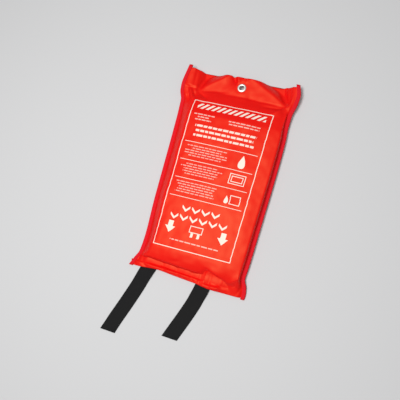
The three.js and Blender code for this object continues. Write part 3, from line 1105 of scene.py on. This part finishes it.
    def join(self, mesh: BMesh, front: Lattice, back: Lattice) -> None:
        """Joins the panels at the seams and the header, and makes the pocket behind the lips."""
        panel = panel_map(mesh)
        laid = set(mesh.faces)
        chains = [self._edge_chain(front), self._edge_chain(back)]
        ends = self._lining_up(mesh, front, back, Face.FRONT, self.front_lip)
        ends += self._lining_up(mesh, back, front, Face.BACK, self.back_lip)
        bmesh.ops.bridge_loops(mesh, edges=chains[0] + chains[1])
        bmesh.ops.bridge_loops(mesh, edges=ends)
        open_edges = [edge for edge in mesh.edges if edge.is_boundary]
        bmesh.ops.holes_fill(mesh, edges=open_edges, sides=0)
        for face in set(mesh.faces) - laid:
            for loop in face.loops:
                loop[panel].uv = (loop.vert.co.x + OFF_PRINT, loop.vert.co.y)
        bmesh.ops.recalc_face_normals(mesh, faces=mesh.faces)

    def make(self, material: Material) -> None:
        """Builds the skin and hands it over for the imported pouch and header."""
        mesh = bmesh.new()
        front = self.panel(mesh, Face.FRONT)
        back = self.panel(mesh, Face.BACK)
        mesh.normal_update()
        self.press(front, back)
        self.keep_apart(front, back)
        self.cut_eyelet_hole(mesh)
        self.join(mesh, front, back)
        LOG.info("open edges: %d", sum(e.is_boundary for e in mesh.edges))
        piece = finished("pouch_skin", mesh, material)
        hand_over(piece, "coated_cloth", "pouch", "header")


@dataclass
class SeamBinding:
    """A woven tape folded over a side seam and sewn through, with its cut ends past the cloth."""

    form: PackedForm
    side: Side
    width: float = 0.0065
    flat_width: float = 0.0155
    half_height: float = 0.00158
    wall: float = 0.0007
    above_floor: float = 0.0003
    step: float = 0.003
    stitch_pitch: float = 0.0031
    stitch_inset: float = 0.0021
    stitch_share: float = 0.36
    stitch_rise: float = 0.00002
    thread: tuple[float, float] = (0.00021, 0.00017)
    probe: float = 0.001

    @property
    def name(self) -> str:
        """Returns the node that the binding stands for."""
        return f"binding_{self.side.name.lower()}"

    def _seam(self, y: float) -> tuple[float, float]:
        """Returns the seam's outer x and its height at y, with the lower stitches clear of the floor."""
        x, z = self.form.seam(self.side, y)
        return x, max(z, self.half_height + self.above_floor)

    def _stations(self) -> list[Station]:
        """Returns the rows of the binding from the lower ear to the upper ear."""
        low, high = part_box(self.name)
        count = round((high.y - low.y) / self.step)
        middles: list[Vector] = []
        for i in range(count + 1):
            y = mix(low.y, high.y, i / count)
            x, z = self._seam(y)
            middles.append(Vector((x, y, z)))
        runs = running((b - a).length for a, b in pairwise(middles))
        return [Station(middle, Vector((self.side.value, 0, 0)), run) for middle, run in zip(middles, runs)]

    def _section(self) -> list[tuple[float, float]]:
        """Returns the fold's closed section: out along the underside, round the fold and back."""
        h, t, w = self.half_height, self.wall, self.width
        outer = [(w, -h + t * 0.3), (w * 0.97, -h), (w * 0.72, -h * 1.03), (w * 0.4, -h * 0.99)]
        outer += [(w * 0.16, -h * 0.9), (w * 0.04, -h * 0.52), (0.0, 0.0)]
        outer += [(x, -z) for x, z in reversed(outer[:-1])]
        inner = [(w, h - t), (w * 0.5, h - t), (t * 2.0, h - t * 1.2), (t * 1.3, 0.0)]
        inner += [(x, -z) for x, z in reversed(inner[:-1])]
        return outer + inner

    def make(self, tape: Material, thread: Material) -> None:
        """Builds the folded tape and its two rows of stitches."""
        stations = self._stations()
        piece = finished(self.name + "_tape", swept_band(self._section(), stations), tape)
        hand_over(piece, "edge_binding", self.name)
        stitches = finished(self.name + "_stitching", self._stitches(stations), thread)
        hand_over(stitches, "edge_binding")

    def _stitches(self, stations: Sequence[Station]) -> BMesh:
        """Returns the thread on both sides of the binding, one short bar for each stitch."""
        runs = [s.run for s in stations]
        ys = [s.middle.y for s in stations]
        thick, high = self.thread
        size = Matrix.Diagonal((thick, self.stitch_pitch * self.stitch_share, high, 1))
        lying = Matrix.Rotation(math.pi / 2, 4, "X")
        inset = self.side.value * (self.width - self.stitch_inset)
        rise = self.half_height + self.stitch_rise
        thread = bmesh.new()
        for i in range(int(runs[-1] / self.stitch_pitch) - 1):
            y = along(runs, ys, (i + 1) * self.stitch_pitch)
            x, z = self._seam(y)
            before = Vector(self._seam(y - self.probe))
            after = Vector(self._seam(y + self.probe))
            step_x, step_z = after - before
            heading = Vector((step_x, 2 * self.probe, step_z)).normalized()
            turn = Vector((0, 1, 0)).rotation_difference(heading).to_matrix().to_4x4()
            for face in Face:
                at = Matrix.Translation((x + inset, y, z + face.value * rise))
                bmesh.ops.create_uvsphere(thread, u_segments=8, v_segments=5, radius=1.0,
                                          matrix=at @ turn @ size @ lying)
        return thread


@dataclass
class PullTape:
    """A webbing tape sewn to the blanket inside, which comes out between the lips and lies free."""

    name: str
    path: Sequence[tuple[float, float, float]]
    end_angle: float
    width: float = 0.025
    thick: float = 0.0015
    steps: int = 96
    knot_steps: int = 16
    probe: float = 0.002
    slant_reach: float = 0.011

    def _curve(self) -> tuple[list[float], list[Vector]]:
        """Returns the lengths and points of a smooth line through the path, in metres."""
        knots = [Vector(p) * MM for p in self.path]
        padded = [knots[0] * 2 - knots[1], *knots, knots[-1] * 2 - knots[-2]]
        points: list[Vector] = []
        for a, b, c, d in zip(padded, padded[1:], padded[2:], padded[3:]):
            for k in range(self.knot_steps):
                t = k / self.knot_steps
                points.append(0.5 * (b * 2 + (c - a) * t + (a * 2 - b * 5 + c * 4 - d) * t * t
                                     + (b * 3 - a - c * 3 + d) * t ** 3))
        points.append(knots[-1])
        for point in points:
            point.z = max(point.z, self.thick / 2)
        return running((b - a).length for a, b in pairwise(points)), points

    def _stations(self) -> list[Station]:
        """Returns the tape's rows from its root to its slanted end."""
        lengths, points = self._curve()
        total = lengths[-1]
        columns = [[p[axis] for p in points] for axis in range(3)]
        slant = Vector((1.0, 0, 0)) / math.cos(math.radians(self.end_angle))
        stations: list[Station] = []
        for i in range(self.steps + 1):
            at = total * i / self.steps
            here, ahead, behind = (
                Vector([along(lengths, column, where) for column in columns])
                for where in (at, min(total, at + self.probe), max(0.0, at - self.probe))
            )
            run = (ahead - behind).normalized()
            square = Vector((-run.y, run.x, 0)).normalized()
            across = square.lerp(slant, ease(1.0 - (total - at) / self.slant_reach))
            stations.append(Station(here, across, total - at))
        return stations

    def _section(self) -> list[tuple[float, float]]:
        """Returns the webbing's section, with soft selvedges and thin ribs along its edges."""
        half, rise = self.width / 2, self.thick / 2
        top = [(-1.0, 0.25), (-0.985, 0.72), (-0.955, 0.95), (-0.93, 0.82), (-0.9, 1.0)]
        top += [(-0.45, 0.97), (0.0, 0.96)]
        top += [(-x, z) for x, z in reversed(top[:-1])]
        below = [(x, -z) for x, z in reversed(top)]
        return [(x * half, z * rise) for x, z in top + below]

    def make(self, webbing: Material) -> None:
        """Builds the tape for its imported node."""
        stations = self._stations()
        piece = finished(self.name + "_webbing", swept_band(self._section(), stations), webbing)
        hand_over(piece, "webbing", self.name)


@dataclass
class Eyelet:
    """The two-part nickel eyelet: a flange with its barrel, and a washer under the rolled barrel end.

    Sizes are millimetres.
    """

    bore: float = 4.0
    barrel: float = 4.8
    flange: float = 7.5
    crown: float = 1.3
    washer: float = 7.3
    cloth_half: float = 1.3
    sides: int = 56

    def _turned(self, profile: Sequence[tuple[float, float]], centre: Vector) -> BMesh:
        """Spins a closed profile of radii and heights round the eyelet's axis."""
        ring = bmesh.new()
        verts = [ring.verts.new(centre + Vector((r, 0, z)) * MM) for r, z in profile]
        edges = [ring.edges.new(pair) for pair in zip(verts, [*verts[1:], verts[0]])]
        bmesh.ops.spin(ring, geom=verts + edges, cent=centre, axis=UP, angle=math.tau,
                       steps=self.sides, use_merge=True)
        bmesh.ops.recalc_face_normals(ring, faces=ring.faces)
        return ring

    def make(self, nickel: Material) -> None:
        """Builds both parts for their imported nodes."""
        low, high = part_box("eyelet")
        middle = (low + high) / 2
        r, b, f, w, c = self.bore, self.barrel, self.flange, self.washer, self.cloth_half
        top = c + self.crown
        centre = Vector((middle.x, middle.y, high.z - top * MM))
        shell = [(r, -c - 0.6), (r, c + 0.5), (r + 0.12, c + 0.95), (r + 0.6, c + 1.22)]
        shell += [(r + 1.3, top), (r + 2.2, c + 1.2), (r + 2.9, c + 0.85), (f - 0.08, c + 0.42)]
        shell += [(f, c + 0.22), (f - 0.1, c + 0.03), (b + 0.3, c + 0.02), (b, c - 0.1)]
        shell += [(b, -c - 0.98), (b + 0.35, -c - 1.12), (b + 1.1, -c - 1.16), (b + 1.2, -c - 1.4)]
        shell += [(b + 0.7, -c - 1.85), (r + 0.5, -c - 2.0), (r + 0.08, -c - 1.6)]
        ring = [(b + 0.32, -c - 0.02), (w - 0.2, -c - 0.02), (w, -c - 0.12), (w, -c - 0.5)]
        ring += [(w - 0.5, -c - 0.78), (b + 0.5, -c - 0.8), (b + 0.32, -c - 0.7)]
        for name, profile in (("eyelet", shell), ("eyelet_washer", ring)):
            piece = finished(name + "_metal", self._turned(profile, centre), nickel)
            rounding = piece.modifiers.new("rounding", "SUBSURF")
            rounding.levels = rounding.render_levels = 1
            hand_over(piece, "nickel", name)


@dataclass(frozen=True)
class View:
    """The camera: its place over the pouch as seen in the photograph."""

    target: tuple[float, float, float] = (-0.0103, -0.0462, 0.015)
    distance: float = 0.7
    lean_right: float = 13.1
    lean_down: float = 5.7
    roll: float = 16.3
    focal_px: float = 429.6
    frame_px: float = 400.0
    sensor: float = 36.0

    def make(self) -> None:
        """Adds the camera and makes it the scene's own."""
        away = Vector((math.sin(math.radians(self.lean_right)), -math.sin(math.radians(self.lean_down)), 0))
        away.z = math.sqrt(1.0 - away.x ** 2 - away.y ** 2)
        turn = math.radians(self.roll)
        right = (-away).cross(Vector((-math.sin(turn), math.cos(turn), 0.0))).normalized()
        data = bpy.data.cameras.new("camera")
        data.sensor_width = self.sensor
        data.lens = self.focal_px / self.frame_px * self.sensor
        camera = bpy.data.objects.new("camera", data)
        turned = Matrix((right, away.cross(right), away)).transposed().to_4x4()
        turned.translation = Vector(self.target) + away * self.distance
        camera.matrix_world = turned
        bpy.context.scene.collection.objects.link(camera)
        bpy.context.scene.camera = camera


@dataclass(frozen=True)
class Lamp:
    """A square soft light of so many watts that looks at the pouch."""

    name: str
    place: tuple[float, float, float]
    size: float
    power: float

    def make(self) -> None:
        """Adds the light."""
        data = bpy.data.lights.new(self.name, "AREA")
        data.size = self.size
        data.energy = self.power
        lamp = bpy.data.objects.new(self.name, data)
        lamp.location = self.place
        lamp.rotation_euler = (-Vector(self.place)).to_track_quat("-Z", "Y").to_euler()
        bpy.context.scene.collection.objects.link(lamp)


@dataclass(frozen=True)
class Studio:
    """A pale floor in even surroundings, a soft key light above and to the left, and a broad top light."""

    floor_colour: Colour = (0.59, 0.59, 0.594, 1.0)
    floor_roughness: float = 0.9
    floor_half: float = 3.0
    lamps: tuple[Lamp, ...] = (
        Lamp("key", (-0.26, -0.14, 1.42), size=0.42, power=12.4),
        Lamp("top", (-0.02, -0.2, 1.6), size=0.9, power=11.5),
    )
    surround: Colour = (1.0, 1.0, 1.0, 1.0)
    surround_strength: float = 0.21

    def make(self) -> None:
        """Adds the floor, the lights and the pale surroundings."""
        shape = bmesh.new()
        bmesh.ops.create_grid(shape, x_segments=2, y_segments=2, size=self.floor_half)
        material, _, shader = new_material("floor")
        shader["Base Color"].default_value = self.floor_colour
        shader["Roughness"].default_value = self.floor_roughness
        finished("floor", shape, material)
        for lamp in self.lamps:
            lamp.make()
        world = bpy.data.worlds.new("studio")
        world.use_nodes = True
        glow = world.node_tree.nodes["Background"].inputs
        glow["Color"].default_value = self.surround
        glow["Strength"].default_value = self.surround_strength
        bpy.context.scene.world = world
        bpy.context.scene.view_settings.view_transform = "Standard"


# The main creases as the photograph shows them, in millimetres: start, end, depth, left and right reach
CREASES = (
    Crease((-68, -140), (-70, 118), -1.0, 5, 5),
    Crease((88, -140), (91, 122), -1.0, 3, 3),
    Crease((-94, 140), (-67, 138), 1.8),
    Crease((-93, 143), (-70, 142), -0.8, 1.8, 1.8),
    Crease((-77, 141), (-78, 170), 1.2),
    Crease((-71, 141), (-70, 168), 0.8, 2.2, 2.2),
    Crease((-76, 131), (2, 187), -3.6, 14, 5),
    Crease((-66, 174), (-26, 177), 7.4, 8, 9),
    Crease((-58, 176), (-70, 136), 3.8, 8, 3.4),
    Crease((-9, 178), (-1, 160), -3.8, 4, 1.8),
    Crease((-16, 180), (-6, 158), 4.6, 2.6, 3.6),
    Crease((12, 174), (9, 162), -1.2, 2, 2),
    Crease((0, 182), (100, 131), -3.6, 15, 6),
    Crease((34, 176), (78, 173), 7.4, 8, 10),
    Crease((66, 176), (86, 138), 4.4, 3.4, 9),
    Crease((87, 139), (74, 168), 1.8),
    Crease((89, 140), (84, 168), 1.5),
    Crease((90, 140), (93, 162), -1.0, 2, 2),
    Crease((-66, 136), (-22, 141), 1.5, 2.4, 2.4),
    Crease((-26, 137), (30, 139), 1.4, 2.6, 2.6),
    Crease((22, 138), (88, 136), 1.7, 2.2, 2.6),
    Crease((88, 138), (66, 117), -3.4, 3, 3),
    Crease((86, 133), (48, 129), 2.8, 3, 3),
    Crease((-87, 136), (-77, 114), 3.6, 2.2, 2.2),
    Crease((-82, 137), (-72, 117), -2.8, 2.2, 2.2),
    Crease((-77, 137), (-68, 122), 3.4, 2.2, 2.2),
    Crease((-66, 134), (-48, 124), 3.0, 3.4, 3.4),
    Crease((-64, 126), (-60, 104), -1.4, 3.4, 3.4),
    Crease((-96, -162), (-50, -165), 5.0, 1.6, 2.0),
    Crease((-66, -164), (26, -167), 6.5, 1.6, 2.0),
    Crease((-92, -156), (36, -160), -5.6, 6, 2.6),
    Crease((-86, -170), (20, -170.5), -4.4, 2.2, 4),
    Crease((16, -166), (38, -157), 6.0, 1.6, 2.6),
    Crease((30, -156), (70, -168), 6.5, 1.8, 2.2),
    Crease((24, -163), (60, -168), 4.2, 1.4, 2.4),
    Crease((28, -172), (60, -171), 3.4, 1.6, 1.6),
    Crease((30, -162), (58, -169), -2.4, 3, 6),
    Crease((30, -177), (66, -174), -2.4, 3, 3),
    Crease((36, -151), (70, -162), -4.4, 6, 2),
    Crease((62, -163), (88, -166), 1.2, 2.4, 2.4),
    Crease((50, -178), (64, -164), -3.0, 2, 3),
    Crease((22, -160), (24, -178), 2.2, 1.8, 2.4),
    Crease((29, -160), (32, -178), -1.6, 1.8, 1.8),
    Crease((36, -158), (41, -178), 2.0, 1.8, 2.4),
    Crease((6, -166), (14, -177), 2.0, 1.6, 3.4),
    Crease((-20, -166), (-8, -176), 2.4, 1.6, 4),
    Crease((-44, -165), (-34, -175), 2.2, 1.6, 4),
    Crease((-30, -154), (-12, -150), 0.9, 3, 3),
    Crease((92, -143), (72, -161), -2.2, 2.6, 2.6),
    Crease((96, -149), (86, -174), 2.4, 2.4, 2.4),
    Crease((-88, -147), (-70, -162), -2.6, 2.6, 2.6),
    Crease((-94, -160), (-66, -176), 2.8, 2.2, 2.2),
)

# The pull tapes' middle lines in millimetres, from their roots in the mouth to their ends
LEFT_PATH = (
    (-58.8, -154, 2.45), (-63, -168, 2.45), (-68, -183.5, 2.45), (-70.2, -190.5, 1.6), (-72.6, -199, 0.75),
    (-75.9, -211, 0.75), (-85, -239, 0.75), (-95.8, -270, 0.75), (-103.4, -293.7, 0.75),
)
RIGHT_PATH = (
    (34.4, -155, 2.45), (32.2, -168, 2.45), (29, -186, 2.45), (27.4, -192.5, 1.6), (25.4, -200, 0.75),
    (22.9, -210, 0.75), (15.6, -232, 0.75), (7.6, -253.5, 0.75), (0.4, -272.9, 0.75),
)


def main() -> None:
    """Builds the pouch piece by piece."""
    logging.basicConfig(level=logging.INFO, format="%(name)s %(message)s")
    View().make()
    Studio().make()
    fx = Effects()
    cloth = CoatedCloth().material(fx)
    # Each tape's second colour is painted shade for the low places of its weave, mixed with random tone
    binding = WovenTape("edge_binding", (0.80, 0.003, 0.013, 1), (0.60, 0.002, 0.009, 1),
                        rib=0.0011, pick=0.0005, relief=0.00012).material(fx)
    webbing = WovenTape("webbing", (0.008, 0.008, 0.0082, 1), (0.003, 0.003, 0.003, 1),
                        rib=0.0016, pick=0.0011, relief=0.0003).material(fx)
    thread = WovenTape("sewing_thread", (0.60, 0.010, 0.020, 1), (0.42, 0.004, 0.010, 1),
                       rib=0.0004, pick=0.0004, relief=0.00004).material(fx)
    form = PackedForm(frame["nodes"])
    PouchSkin(form, CREASES).make(cloth)
    for side in Side:
        SeamBinding(form, side).make(binding, thread)
    Eyelet().make(NickelPlate().material())
    PullTape("tape_left", LEFT_PATH, end_angle=20).make(webbing)
    PullTape("tape_right", RIGHT_PATH, end_angle=19).make(webbing)


if __name__ == "__main__":
    main()
